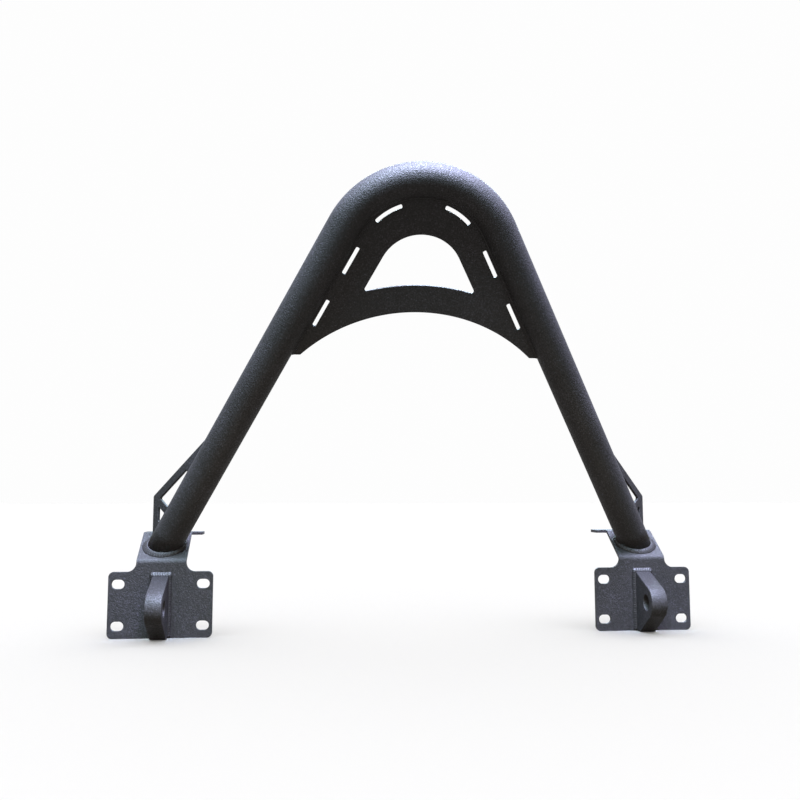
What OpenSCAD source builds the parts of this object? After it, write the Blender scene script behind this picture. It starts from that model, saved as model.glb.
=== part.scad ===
// Bolt-on bumper hoop: one bent tube leans forward over two folded brackets,
// with a web plate under the crown and a shackle tab on each bracket.
// X runs across the vehicle, Y to the rear, Z up. The origin lies on the mounting
// face, midway between the two bolt patterns.

/* [Hoop tube] */
// Outside diameter of the round tube
tube_od = 50.8; // [38:0.1:60]
// Wall of the tube
tube_wall = 3; // [2:0.1:6]
// Bend radius of the crown, to the tube's centreline
crown_r = 128; // [110:1:170]
// Angle of each leg to the ground line, seen square to the hoop
leg_angle = 62; // [58:0.5:68]
// Forward lean of the hoop from the vertical
hoop_lean = 26; // [15:1:35]

/* [Brackets] */
// Distance between the centres of the two bolt patterns
bracket_spacing = 776; // [680:1:900]
// Thickness of the folded bracket plate
plate_t = 4.76; // [3:0.01:8]
// Width of the bolt face
face_w = 160; // [150:1:200]
// Height of the bolt face
face_h = 102; // [92:1:130]
// Corner radius of the bolt face
face_corner = 8; // [3:0.5:14]
// Bolt slot spacing across
bolt_pitch_x = 130; // [116:0.5:140]
// Bolt slot spacing up and down
bolt_pitch_z = 64; // [50:0.5:72]
// Width of each bolt slot
bolt_slot_w = 14.3; // [9:0.1:17]
// Length of each bolt slot, across the bracket
bolt_slot_len = 19.8; // [18:0.1:24]
// Fillet between the bolt face and the neck
neck_fillet = 14; // [4:0.5:18]
// Height of the first fold above the bolt pattern's centre
fold_height = 68.5; // [60:0.5:80]
// Slope of the seat that carries the leg
seat_slope = 34.5; // [30:0.5:50]
// Inside radius of both folds
fold_r = 5; // [3:0.5:8]
// Bare plate between the front fold and the leg
seat_front = 12.5; // [12:0.5:30]
// Bare plate between the leg and the rear fold
seat_back = 9; // [8:0.5:20]
// Bare plate on each side of the leg
seat_side = 9.5; // [7:0.5:16]
// Depth of the flat shelf behind the seat
shelf_depth = 34; // [20:1:60]
// Reach of the shelf's inboard ear
ear_w = 17; // [8:0.5:30]
// Corner radius of the shelf and its ear
ear_corner = 4; // [1:0.5:8]

/* [Shackle tabs] */
// Thickness of the tab
tab_t = 25.4; // [16:0.1:32]
// Height of the tab's root above the bolt pattern's centre
tab_top = 46; // [40:0.5:50]
// Diameter of the shackle pin hole
pin_d = 24; // [18:0.1:28]
// Distance of the pin hole from the front of the bolt face
pin_reach = 46; // [32:0.5:50]
// Drop of the pin hole below the bolt pattern's centre
pin_drop = 1; // [-5:0.5:10]
// Radius of the tab's nose round the pin hole
nose_r = 26; // [22:0.5:30]
// Reach of the tab's bottom edge from the front of the bolt face
toe_reach = 23; // [16:0.5:44]
// Radius where the bottom edge turns up to the nose
toe_r = 8; // [2:0.5:12]

/* [Gussets] */
// Thickness of the gusset plate
gusset_t = 4.76; // [3:0.01:8]
// Width of the gusset's bare foot on the seat, beside the leg
gusset_foot = 3.5; // [2:0.1:8]
// Height of the outer corner above the leg's foot
gusset_height = 78; // [65:0.5:120]
// Angle between the top bar and the leg
gusset_taper = 15; // [12:0.5:22]
// Width of the gusset's bars
bar_w = 12; // [8:0.5:14]
// Width of the gusset's root strip along the leg
root_w = 7; // [5:0.5:10]
// Width of the gusset's blunt top end
tip_w = 4; // [2:0.5:8]
// Radius of the gusset's outer corner
gusset_corner = 5; // [2:0.5:8]

/* [Web plate] */
// Thickness of the web plate
web_t = 4.76; // [3:0.01:8]
// Radius of the arch along the web's lower edge
arch_r = 257; // [220:1:320]
// Drop of the arch's top below the centre of the crown bend
arch_drop = 66; // [55:0.5:90]
// Drop of the web's square-cut ends below the centre of the crown bend
web_drop = 135; // [128:0.5:150]
// Height of the band between the window and the arch
band_h = 41; // [25:0.5:50]
// Radius of the window's top
window_r = 64; // [45:0.5:70]
// Drop of the centre of the window's top below the centre of the crown bend
window_drop = 14.3; // [0:0.1:25]
// Radius of the window's lower corners
window_corner = 3; // [1:0.5:8]
// Length of each slot in the web
web_slot_len = 44; // [20:1:60]
// Width of each slot in the web
web_slot_w = 5.8; // [3:0.1:8]
// Distance from the slots to the tube
web_slot_gap = 7.4; // [7.2:0.1:12]
// Spacing of the slots along the web's edge
web_slot_pitch = 89.5; // [70:0.5:100]
// Distance of the first slots from the crown's middle, along their own line
web_slot_first = 54; // [35:0.5:60]

/* [Weld beads] */
// Leg of the bead round each leg's foot
foot_bead = 6; // [3:0.5:6]
// Leg of the bead round each tab's root
tab_bead = 4.5; // [3:0.5:8]
// Radius of the beads between gusset and leg
gusset_bead = 4; // [2:0.5:5]
// Radius of the beads between web and tube
web_bead = 3.2; // [2:0.1:3.4]

/* [Hidden] */
$fn = 96;

coat = [0.17, 0.17, 0.18];        // textured black powder coat
weld_coat = [0.24, 0.24, 0.26];   // the same coat over the beads
past = 1;                         // how far a cut runs past a face
far = 400;                        // reach of a shape that stands for "everything on this side"
past_middle = 10;                 // extra turn of the crown's bend, cut off at the middle

tube_r = tube_od / 2;
side_x = bracket_spacing / 2;
front_y = -plate_t;
bend_out = fold_r + plate_t;

// Direction down the right leg, and the normal of the seat's top
leg_dir = [cos(leg_angle), sin(leg_angle) * sin(hoop_lean), -sin(leg_angle) * cos(hoop_lean)];
seat_up = [0, -sin(seat_slope), cos(seat_slope)];
seat_along = [0, cos(seat_slope), sin(seat_slope)];

// Half size of the leg's footprint on the seat, along a direction in the seat
function footprint(along) = tube_r * sqrt(1 + pow((leg_dir * along) / (leg_dir * seat_up), 2));
neck_w = 2 * (footprint([1, 0, 0]) + seat_side);
foot_s = seat_front + footprint(seat_along);
seat_len = foot_s + footprint(seat_along) + seat_back;
foot = [side_x, front_y + foot_s * cos(seat_slope), fold_height + foot_s * sin(seat_slope)];
shelf_z = fold_height + seat_len * sin(seat_slope);

// Centres of the two folds, in the side view [y, z]
fold_1 = [front_y + bend_out, fold_height - bend_out * (1 - sin(seat_slope)) / cos(seat_slope)];
fold_2 = [front_y + (bend_out + (shelf_z - bend_out - fold_height) * cos(seat_slope)) / sin(seat_slope),
          shelf_z - bend_out];
shelf_back = fold_2.x + shelf_depth;

// Distance from the tube's centreline at which the edge of a plate meets the tube
function edge_reach(thick) = sqrt(pow(tube_r, 2) - pow(thick / 2, 2));

// The hoop in its own plane: [x, height above the feet]
leg_len = (side_x - crown_r * sin(leg_angle)) / cos(leg_angle);
crown_h = leg_len * sin(leg_angle) - crown_r * cos(leg_angle);

// Plan direction and steepness of a leg, for the upright plane of its gusset
leg_turn = atan2(leg_dir.y, leg_dir.x);
leg_rise = asin(-leg_dir.z);

// ---- Shapes built from circles -------------------------------------------

function unit(angle) = [cos(angle), sin(angle)];
function turn(a, b) = atan2(b.y - a.y, b.x - a.x);
// Outward normal of the straight side that joins circle a to circle b, [x, y, r]
function side_normal(a, b) =
    unit(turn(a, b) - acos((a[2] - b[2]) / norm([b.x - a.x, b.y - a.y])));

// A belt round circles given anticlockwise as [x, y, r]; r = 0 is a sharp corner
module belt(circles) {
    n = len(circles);
    polygon([for (i = [0 : n - 1])
        let (c = circles[i], before = circles[(i + n - 1) % n], after = circles[(i + 1) % n])
        each c[2] == 0 ? [[c.x, c.y]]
                       : [[c.x, c.y] + c[2] * side_normal(before, c),
                          [c.x, c.y] + c[2] * side_normal(c, after)]]);
    for (c = circles) if (c[2] > 0) translate([c.x, c.y]) circle(c[2]);
}

// A rectangle between two opposite corners, with round corners
module round_rect(low, high, r) {
    belt([[low.x + r, low.y + r, r], [high.x - r, low.y + r, r],
          [high.x - r, high.y - r, r], [low.x + r, high.y - r, r]]);
}

// A slot along X about the origin
module slot(len, w) {
    belt([[-(len - w) / 2, 0, w / 2], [(len - w) / 2, 0, w / 2]]);
}

// Section of a fillet bead in the corner of the two positive axes
module bead_section(leg) {
    sink = 0.6 * leg;
    intersection() {
        square(leg);
        translate([-sink, -sink]) circle(norm([leg + sink, sink]));
    }
}

// ---- Planes ---------------------------------------------------------------

// Side view [y, z] to world, spread along X about the given centre
module across(x, w) { translate([x - w / 2, 0, 0]) rotate([90, 0, 90]) linear_extrude(w) children(); }

// Hoop plane: its X across, its Y up the hoop from the feet, its Z to the front
module in_hoop_plane() { translate([0, foot.y, foot.z]) rotate([90 + hoop_lean, 0, 0]) children(); }

// Upright plane through the right leg: its X outward and back, its Y up
module in_gusset_plane() { translate(foot) rotate([0, 0, leg_turn]) rotate([90, 0, 0]) children(); }

module on_side(side) { if (side < 0) mirror([1, 0, 0]) children(); else children(); }

// ---- Hoop tube ------------------------------------------------------------

// At the end of the right leg's bend: its Y points back up the leg, its X out of the hoop
module at_bend_end() {
    translate([0, crown_h, 0]) rotate([0, 0, 90 - leg_angle]) translate([crown_r, 0, 0]) children();
}

// A section, drawn about the tube's centre, swept round the right half of the crown
module crown_half_sweep() {
    intersection() {
        at_bend_end() translate([-crown_r, 0, 0])
            rotate_extrude(angle = leg_angle + past_middle) translate([crown_r, 0]) children();
        translate([0, 0, -far]) cube([far, 2 * far, 2 * far]);
    }
}

// The same section swept down the right leg
module leg_sweep(len) { at_bend_end() rotate([90, 0, 0]) linear_extrude(len) children(); }

module tube_section() {
    difference() {
        circle(tube_r);
        circle(tube_r - tube_wall);
    }
}

// Both halves of the hoop, run past their feet and cut off at the seats
module hoop_tube() {
    color(coat) difference() {
        in_hoop_plane() for (side = [0, 1]) mirror([side, 0, 0]) {
            crown_half_sweep() tube_section();
            leg_sweep(leg_len + 2 * tube_od) tube_section();
        }
        under_seat(0);
    }
}

// Everything under the top skin of a bracket, or under a skin sunk by inset
module fold_region(inset) {
    belt([[front_y + inset, -far - inset, 0], [far + inset, -far - inset, 0],
          [far + inset, shelf_z - inset, 0], [fold_2.x, fold_2.y, bend_out - inset],
          [fold_1.x, fold_1.y, bend_out - inset]]);
}

// Everything under the plane of the seats, raised by lift
module under_seat(lift) {
    across(0, 2 * bracket_spacing)
        translate([front_y, fold_height]) rotate(seat_slope) translate([-far, lift - far])
            square([2 * far, far]);
}

// ---- Web plate ------------------------------------------------------------

web_edge_r = crown_r - edge_reach(web_t);       // radius of the web's edge round the crown
slot_line = crown_r - tube_r - web_slot_gap;   // distance of the slots' line from the crown's centre
arch_centre = [0, crown_h - arch_drop - arch_r];
window_centre = [0, crown_h - window_drop];
window_floor_r = arch_r + band_h;

// Centre of the right lower corner of the window: inside the side, above the floor's arc
corner_pitch = arch_centre.y - window_centre.y;
corner_side = window_r - window_corner;
corner_out = window_floor_r + window_corner;
corner_b = corner_side * cos(leg_angle) + corner_pitch * pow(sin(leg_angle), 2);
corner_c = pow(corner_side, 2)
           + pow(sin(leg_angle), 2) * (pow(corner_pitch, 2) - pow(corner_out, 2));
corner_rise = corner_b + sqrt(pow(corner_b, 2) - corner_c);
corner_centre = window_centre
                + [(corner_side - corner_rise * cos(leg_angle)) / sin(leg_angle), corner_rise];

module web_window() {
    difference() {
        belt([[-corner_centre.x, corner_centre.y, window_corner],
              [corner_centre.x, corner_centre.y, window_corner],
              [window_centre.x, window_centre.y, window_r]]);
        translate(arch_centre) circle(window_floor_r);
    }
    for (side = [-1, 1]) translate([side * corner_centre.x, corner_centre.y]) circle(window_corner);
}

// A slot at a distance along the slots' line: bent within the crown, straight on the legs
module web_slot(along) {
    bend_len = slot_line * leg_angle * PI / 180;
    middle = 90 - along * 180 / PI / slot_line;
    swing = web_slot_len / 2 * 180 / PI / slot_line;
    translate([0, crown_h])
        if (along < bend_len)
            intersection() {
                difference() {
                    circle(slot_line + web_slot_w / 2);
                    circle(slot_line - web_slot_w / 2);
                }
                polygon([[0, 0], 2 * slot_line * unit(middle - swing),
                         2 * slot_line * unit(middle + swing)]);
            }
        else
            rotate(90 - leg_angle) translate([slot_line, bend_len - along])
                square([web_slot_w, web_slot_len], center = true);
}

module web_outline() {
    end_h = crown_h - web_drop;
    end_x = (web_edge_r + web_drop * cos(leg_angle)) / sin(leg_angle);
    bend_end = [0, crown_h] + web_edge_r * unit(90 - leg_angle);
    difference() {
        union() {
            translate([0, crown_h]) circle(web_edge_r);
            polygon([[-end_x, end_h], [end_x, end_h], bend_end, [-bend_end.x, bend_end.y]]);
        }
        translate(arch_centre) circle(arch_r);
        web_window();
        for (side = [0, 1], i = [0 : 2])
            mirror([side, 0]) web_slot(web_slot_first + i * web_slot_pitch);
    }
}

module web_plate() {
    color(coat) in_hoop_plane() translate([0, 0, -web_t / 2]) linear_extrude(web_t) web_outline();
}

// ---- Brackets -------------------------------------------------------------

// Front view of the bolt face and the neck above it, about the bracket's centre line
module face_outline() {
    round_rect([-face_w / 2, -face_h / 2], [face_w / 2, face_h / 2], face_corner);
    translate([-neck_w / 2, 0]) square([neck_w, far]);
    for (side = [0, 1]) mirror([side, 0])
        translate([neck_w / 2, face_h / 2]) difference() {
            translate([-past, -past]) square(neck_fillet + past);
            translate([neck_fillet, neck_fillet]) circle(neck_fillet);
        }
}

// Plan of the shelf with its ear, which points inboard
module shelf_outline() {
    round_rect([-neck_w / 2 - ear_w, fold_2.x], [neck_w / 2, shelf_back], ear_corner);
}

module bracket() {
    difference() {
        intersection() {
            across(0, 2 * face_w) difference() {
                fold_region(0);
                fold_region(plate_t);
            }
            union() {
                translate([0, fold_2.x + ear_corner, 0]) rotate([90, 0, 0])
                    linear_extrude(far) face_outline();
                linear_extrude(far) shelf_outline();
            }
        }
        for (x = [-1, 1], z = [-1, 1])
            translate([x * bolt_pitch_x / 2, past, z * bolt_pitch_z / 2]) rotate([90, 0, 0])
                linear_extrude(plate_t + 2 * past) slot(bolt_slot_len, bolt_slot_w);
    }
}

module placed_bracket(side) {
    color(coat) on_side(side) translate([side_x, 0, 0]) bracket();
}

// ---- Shackle tabs ---------------------------------------------------------

module tab_outline() {
    belt([[front_y, -face_h / 2, 0], [front_y, tab_top, 0],
          [front_y - pin_reach, -pin_drop, nose_r],
          [front_y - toe_reach + toe_r, -face_h / 2 + toe_r, toe_r]]);
}

module placed_tab(side) {
    color(coat) on_side(side) difference() {
        across(side_x, tab_t) tab_outline();
        translate([side_x, front_y - pin_reach, -pin_drop]) rotate([0, 90, 0])
            cylinder(h = tab_t + 2 * past, d = pin_d, center = true);
    }
}

// One bead up each side of the tab's root and over its top
module placed_tab_weld(side) {
    root_h = tab_top + face_h / 2;
    color(weld_coat) on_side(side) translate([side_x, front_y, 0]) {
        for (turn_over = [0, 1]) mirror([turn_over, 0, 0]) {
            translate([tab_t / 2, 0, -face_h / 2]) mirror([0, 1, 0])
                linear_extrude(root_h) bead_section(tab_bead);
            translate([tab_t / 2, 0, tab_top]) rotate([90, 0, 0])
                rotate_extrude(angle = 90) bead_section(tab_bead);
        }
        translate([-tab_t / 2, 0, tab_top]) rotate([90, 0, 90])
            linear_extrude(tab_t) mirror([1, 0]) bead_section(tab_bead);
    }
}

// ---- Gussets --------------------------------------------------------------

// Directions in the gusset's plane, where the leg's axis passes through the origin
leg_up = unit(180 - leg_rise);
leg_out = unit(90 - leg_rise);
bar_up = unit(180 - leg_rise + gusset_taper);
bar_out = unit(90 - leg_rise + gusset_taper);
upright = [0, 1];

// Where the gusset's plane meets the side of the leg and the seat, then its outer corner
leg_side = [edge_reach(gusset_t) * leg_out, leg_up];
seat_line = [[0, 0], [1, tan(seat_slope) * sin(leg_turn)]];
corner = [meet(leg_side, seat_line).x + gusset_foot, gusset_height];

function cross_2d(a, b) = a.x * b.y - a.y * b.x;
function left_of(v) = [-v.y, v.x];
// Where two lines meet, each given as [point, direction]
function meet(a, b) = a[0] + a[1] * cross_2d(b[0] - a[0], b[1]) / cross_2d(a[1], b[1]);
// The same, with both lines first moved to their left
function meet_inside(a, b, r) =
    meet([a[0] + r * left_of(a[1]), a[1]], [b[0] + r * left_of(b[1]), b[1]]);

// Inner edges of the gusset's bars; each has a window on its left
root_edge = [(tube_r + root_w) * leg_out, -leg_up];
top_edge = [corner - bar_w * bar_out, bar_up];
upright_edge = [corner - [bar_w, 0], upright];
strut_top_edge = [corner + bar_w / 2 * leg_up, leg_out];
strut_low_edge = [corner - bar_w / 2 * leg_up, -leg_out];

module gusset_window(edges) {
    polygon([for (i = [0 : 2]) meet(edges[i], edges[(i + 1) % 3])]);
}

// Outline of the whole gusset, run down past the seat
module gusset_blank() {
    heel = meet([corner, upright], leg_side);
    knee = meet_inside([corner, upright], [corner, bar_up], gusset_corner);
    tip = meet([corner, bar_up], [(tube_r + tip_w) * leg_out, leg_up]);
    tip_root = tip - (tube_r + tip_w - edge_reach(gusset_t)) * leg_out;
    belt([[heel.x, heel.y, 0], [knee.x, knee.y, gusset_corner],
          [tip.x, tip.y, 0], [tip_root.x, tip_root.y, 0]]);
}

// The gusset's blank as a slab about its plane
module gusset_slab(thick) {
    in_gusset_plane() translate([0, 0, -thick / 2]) linear_extrude(thick) gusset_blank();
}

module placed_gusset(side) {
    color(coat) on_side(side) difference() {
        in_gusset_plane() translate([0, 0, -gusset_t / 2]) linear_extrude(gusset_t)
            difference() {
                gusset_blank();
                gusset_window([root_edge, strut_top_edge, top_edge]);
                gusset_window([root_edge, upright_edge, strut_low_edge]);
            }
        under_seat(0);
    }
}

// Bead between gusset and leg on the gusset's front (1) or rear (-1) face
module placed_gusset_weld(side, face) {
    color(weld_coat) on_side(side) difference() {
        intersection() {
            in_gusset_plane() rotate([0, 0, 90 - leg_rise]) rotate([-90, 0, 0])
                translate([0, 0, -tube_od]) linear_extrude(far) difference() {
                    translate([edge_reach(gusset_t), -face * gusset_t / 2])
                        circle(gusset_bead);
                    circle(tube_r);
                    translate([0, -gusset_t / 2]) square([tube_od, gusset_t]);
                }
            gusset_slab(gusset_t + 4 * gusset_bead);
        }
        under_seat(foot_bead);
    }
}

// ---- Welds of the hoop ----------------------------------------------------

// Ring round a leg's foot: turned about the leg, then sheared down onto the seat
module placed_foot_weld(side) {
    up = -leg_dir;
    square_to = [0, cos(hoop_lean), sin(hoop_lean)];
    // Onto the seat along the leg
    function drop(v) = v - up * (v * seat_up) / (up * seat_up);
    a = drop(cross(square_to, up));
    b = drop(square_to);
    c = up / (up * seat_up);
    steps = 48;
    color(weld_coat) on_side(side) difference() {
        multmatrix([for (i = [0 : 2]) [a[i], b[i], c[i], foot[i]]])
            rotate_extrude($fn = steps) translate([tube_r / cos(180 / steps), 0])
                bead_section(foot_bead, $fn = steps / 2);
        gusset_slab(gusset_t);
    }
}

// Section of the bead between web and tube, about the tube's centre, on the
// web's front (1) or rear (-1) face; X points out of the hoop
module web_bead_section(face) {
    difference() {
        translate([-edge_reach(web_t), face * web_t / 2]) circle(web_bead);
        circle(tube_r);
        translate([-tube_od, -web_t / 2]) square([tube_od, web_t]);
    }
}

module web_weld_crown(face) {
    color(weld_coat) in_hoop_plane()
        for (side = [0, 1]) mirror([side, 0, 0]) crown_half_sweep() web_bead_section(face);
}

module web_weld_leg(face, side) {
    len = (web_edge_r * cos(leg_angle) + web_drop) / sin(leg_angle);
    color(weld_coat) in_hoop_plane() on_side(side) leg_sweep(len) web_bead_section(face);
}

hoop_tube();
web_plate();
placed_bracket(-1);  // left_bracket
placed_bracket(1);  // right_bracket
placed_tab(-1);  // left_shackle_tab
placed_tab(1);  // right_shackle_tab
placed_gusset(-1);  // left_gusset
placed_gusset(1);  // right_gusset
placed_foot_weld(-1);  // left_foot_weld
placed_foot_weld(1);  // right_foot_weld
placed_tab_weld(-1);  // left_tab_weld
placed_tab_weld(1);  // right_tab_weld
placed_gusset_weld(-1, 1);  // left_gusset_weld_front
placed_gusset_weld(-1, -1);  // left_gusset_weld_rear
placed_gusset_weld(1, 1);  // right_gusset_weld_front
placed_gusset_weld(1, -1);  // right_gusset_weld_rear
web_weld_leg(1, -1);  // web_weld_front_left
web_weld_crown(1);  // web_weld_front_crown
web_weld_leg(1, 1);  // web_weld_front_right
web_weld_leg(-1, -1);  // web_weld_rear_left
web_weld_crown(-1);  // web_weld_rear_crown
web_weld_leg(-1, 1);  // web_weld_rear_right
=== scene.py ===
"""Looks of a bolt-on bumper hoop: bent tube, cut and folded plate and weld beads, powder coated."""

import math

import bmesh
import bpy
from bpy.props import FloatProperty, FloatVectorProperty, IntProperty, PointerProperty
from mathutils import Euler, Matrix, Vector, noise


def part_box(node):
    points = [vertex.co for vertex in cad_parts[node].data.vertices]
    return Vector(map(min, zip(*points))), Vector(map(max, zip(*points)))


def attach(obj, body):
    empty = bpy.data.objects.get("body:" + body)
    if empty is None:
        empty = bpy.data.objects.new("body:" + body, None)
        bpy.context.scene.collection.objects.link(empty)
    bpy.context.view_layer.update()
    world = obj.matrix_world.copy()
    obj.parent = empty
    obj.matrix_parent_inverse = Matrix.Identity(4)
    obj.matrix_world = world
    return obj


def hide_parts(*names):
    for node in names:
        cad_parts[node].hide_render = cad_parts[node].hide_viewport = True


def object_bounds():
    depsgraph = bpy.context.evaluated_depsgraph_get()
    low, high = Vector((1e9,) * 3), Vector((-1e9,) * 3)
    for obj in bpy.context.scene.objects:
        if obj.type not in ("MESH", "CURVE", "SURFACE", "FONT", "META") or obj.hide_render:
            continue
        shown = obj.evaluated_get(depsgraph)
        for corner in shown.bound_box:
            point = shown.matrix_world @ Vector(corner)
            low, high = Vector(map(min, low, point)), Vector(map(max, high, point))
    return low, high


bl_info = {
    "name": "Bumper Hoop Looks",
    "version": (1, 0, 0),
    "blender": (4, 5, 0),
    "location": "View3D > Sidebar > Bumper Hoop",
    "description": "Finishes the tube, plates and weld beads of a bolt-on bumper hoop",
    "category": "Object",
}

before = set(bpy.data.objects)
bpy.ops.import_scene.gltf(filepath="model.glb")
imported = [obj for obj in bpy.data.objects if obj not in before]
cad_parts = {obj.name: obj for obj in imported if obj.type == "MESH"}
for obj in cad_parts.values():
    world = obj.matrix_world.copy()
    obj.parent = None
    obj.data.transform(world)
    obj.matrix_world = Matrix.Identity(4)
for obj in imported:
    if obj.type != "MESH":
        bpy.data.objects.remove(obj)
CAD_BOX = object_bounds()
MM = 0.001
SIDES = {"left": -1, "right": 1}
FACES = {"front": 1, "rear": -1}
RIGHTWARD = Vector((1, 0, 0))
FORWARD = Vector((0, -1, 0))
UPRIGHT = Vector((0, 0, 1))

# How finely the tube and the plates are divided
LEG_STEP = 25 * MM           # between the rings of a straight leg
TUBE_SIDES = 80
CROWN_STEPS = 72             # along the web's edge in the crown
ARCH_STEPS = 60
WINDOW_STEPS = 48
SILL_STEPS = 30              # along the window's lower edge
WINDOW_CORNER_STEPS = 10
SLOT_SIDE_STEPS = 12         # so that a slot can follow the bend
SLOT_CORNER_STEPS = 5
GUSSET_CORNER_STEPS = 6
NOSE_STEPS = 24
EYE_STEPS = 48
BEVEL_STEPS = 3              # over the rounded edge of a folded plate
CUT_EDGE_STEPS = 2           # over the rounded edge of a cut plate, as the curve counts them

SLOTS_EACH_SIDE = 3
SAME_POINT = 0.001 * MM      # points of a CAD mesh that are nearer than this are one
SAME_CUT_POINT = 0.01 * MM   # the same for a cut plate
SAME_PLANE = math.radians(0.2)    # faces that turn by less lie in one plane
SHARP_EDGE = math.radians(35)     # an edge that turns by more is rounded
SHARP_CORNER = math.radians(30)   # a window's corner that turns by more gets a radius
SQUARE_ON = 0.999            # cosine from which a face's normal counts as along an axis

# Beads
FOOT_BEAD_STOPS = 420
BEAD_STOPS_PER_RIPPLE = 8
BEAD_CORNER_STEPS = 8        # round a corner of a tab's root
BEAD_SIDES = 9               # points across a bead's face
BEAD_SINK = 0.4 * MM         # of a bead's root into the steel that it joins
BEAD_TIP = 0.02              # square of the share of its size that a bead keeps at its tips
BEAD_WANDER = 0.09           # share of its size by which a bead is wider and narrower
WANDER_RATE = 22             # of the noise, so that a bead changes about every 10 mm
RIPPLE_RISE = 0.26           # share of its size by which a bead bulges at a ripple
RIPPLE_LAG = 0.55            # of a ripple in the bead's middle, as a share of the bead's size
RIPPLE_SHAPE = 0.7           # a power under 1 gives broad crests and sharp valleys

# Stage: where each lamp hangs, how wide it is and which colour it takes
LAMPS = {
    "key": ((-0.45, -1.4, 2.8), 1.4, "key"),
    "top": ((0.3, -0.65, 2.4), 1.0, "top"),
    "back": ((0.6, 2.6, 2.2), 1.8, "key"),
}
# A low lamp in front of each foot, mirrored to the left
BOUNCE_PLACE = 0.26, -0.36, -0.04
BOUNCE_WIDTH = 0.25
FLOOR_REACH = 30.0           # from the middle to each side
# The cove brightens between two heights, as sines of 31 and 51 degrees above the horizon
WALL_TOP, CEILING = 0.52, 0.78


# ---- Colours and nodes ------------------------------------------------------

def linear(hex_colour):
    """An sRGB hex colour as linear red, green and blue."""
    channels = [int(hex_colour[i:i + 2], 16) / 255 for i in (1, 3, 5)]
    return tuple(c / 12.92 if c <= 0.04045 else ((c + 0.055) / 1.055) ** 2.4 for c in channels)


def add_node(tree, kind, inputs=None, ramp=None, **settings):
    """A node with its settings; inputs maps a socket to an output or a value,
    and ramp lists the stops of a colour ramp as place and colour."""
    node = tree.nodes.new(kind)
    for name, value in settings.items():
        setattr(node, name, value)
    for name, value in (inputs or {}).items():
        if isinstance(value, bpy.types.NodeSocket):
            tree.links.new(value, node.inputs[name])
        else:
            node.inputs[name].default_value = value
    for i, (place, shade) in enumerate(ramp or []):
        stops = node.color_ramp.elements
        # A new ramp has two stops
        stop = stops[i] if i < 2 else stops.new(place)
        stop.position = place
        stop.color = (*shade, 1.0)
    return node


# ---- Sizes and colours that a user may change -------------------------------

def length(name, description, millimetres):
    """A length, with its default in millimetres."""
    return FloatProperty(name=name, description=description, default=millimetres * MM,
                         min=0.0, precision=5, unit="LENGTH", subtype="DISTANCE")


def angle(name, description, degrees):
    """An angle, with its default in degrees."""
    return FloatProperty(name=name, description=description, default=math.radians(degrees),
                         subtype="ANGLE")


def colour(name, description, hex_colour):
    """A colour, with its default as sRGB hex."""
    return FloatVectorProperty(name=name, description=description, size=3,
                               default=linear(hex_colour), min=0.0, max=1.0, subtype="COLOR")


def power(name, description, watts):
    """A lamp's power, with its default in watts."""
    return FloatProperty(name=name, description=description, default=watts, min=0.0, unit="POWER")


class HoopSizes(bpy.types.PropertyGroup):
    """Sizes of the pieces, the same as in the CAD."""
    tube_diameter: length("Tube diameter", "Outside diameter of the hoop's tube", 50.8)
    tube_wall: length("Tube wall", "Wall of the hoop's tube", 3.0)
    bend_radius: length("Bend radius", "Radius of the crown's bend, to the tube's centreline", 128)
    leg_angle: angle("Leg angle", "Slope of the legs, seen square to the hoop", 62)
    lean: angle("Lean", "Forward lean of the hoop from the vertical", 26)
    seat_slope: angle("Seat slope", "Slope of the bracket's seat under each leg", 34.5)
    spacing: length("Bracket spacing", "Distance between the centres of the brackets", 776)
    plate: length("Plate thickness", "Thickness of the web, the gussets and the brackets", 4.76)


class TabSizes(bpy.types.PropertyGroup):
    """Sizes of a shackle tab, measured from the bolt face and the bolt pattern's centre."""
    thickness: length("Tab thickness", "Thickness of the tab", 25.4)
    root_top: length("Root height", "Height of the tab's root", 46)
    pin_diameter: length("Pin hole", "Diameter of the shackle pin's hole", 24)
    pin_reach: length("Pin reach", "Distance of the pin's hole from the bolt face", 46)
    pin_drop: length("Pin drop", "Drop of the pin's hole", 1)
    nose_radius: length("Nose radius", "Radius of the nose round the pin's hole", 26)
    toe_reach: length("Toe reach", "Reach of the tab's bottom edge", 23)
    toe_radius: length("Toe radius", "Radius where the bottom edge turns up", 8)


class WebSizes(bpy.types.PropertyGroup):
    """Sizes of the web plate; drops are measured from the centre of the crown's bend."""
    drop: length("Web drop", "Drop of the web's square-cut ends", 135)
    arch_radius: length("Arch radius", "Radius of the arch along the web's lower edge", 257)
    arch_drop: length("Arch drop", "Drop of the arch's top", 66)
    band: length("Band", "Height of the band between the window and the arch", 41)
    window_radius: length("Window radius", "Radius of the window's top", 64)
    window_drop: length("Window drop", "Drop of the centre of the window's top", 14.3)
    window_corner: length("Window corner", "Radius of the window's lower corners", 3)
    slot_length: length("Slot length", "Length of each slot", 44)
    slot_width: length("Slot width", "Width of each slot", 5.8)
    slot_corner: length("Slot corner", "Radius in the corners of each slot", 1.9)
    slot_gap: length("Slot gap", "Distance from the slots' line to the tube", 7.4)
    slot_first: length("First slot", "Distance of the first slots from the crown's middle", 54)
    slot_pitch: length("Slot pitch", "Spacing of the slots along their line", 89.5)


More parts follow.
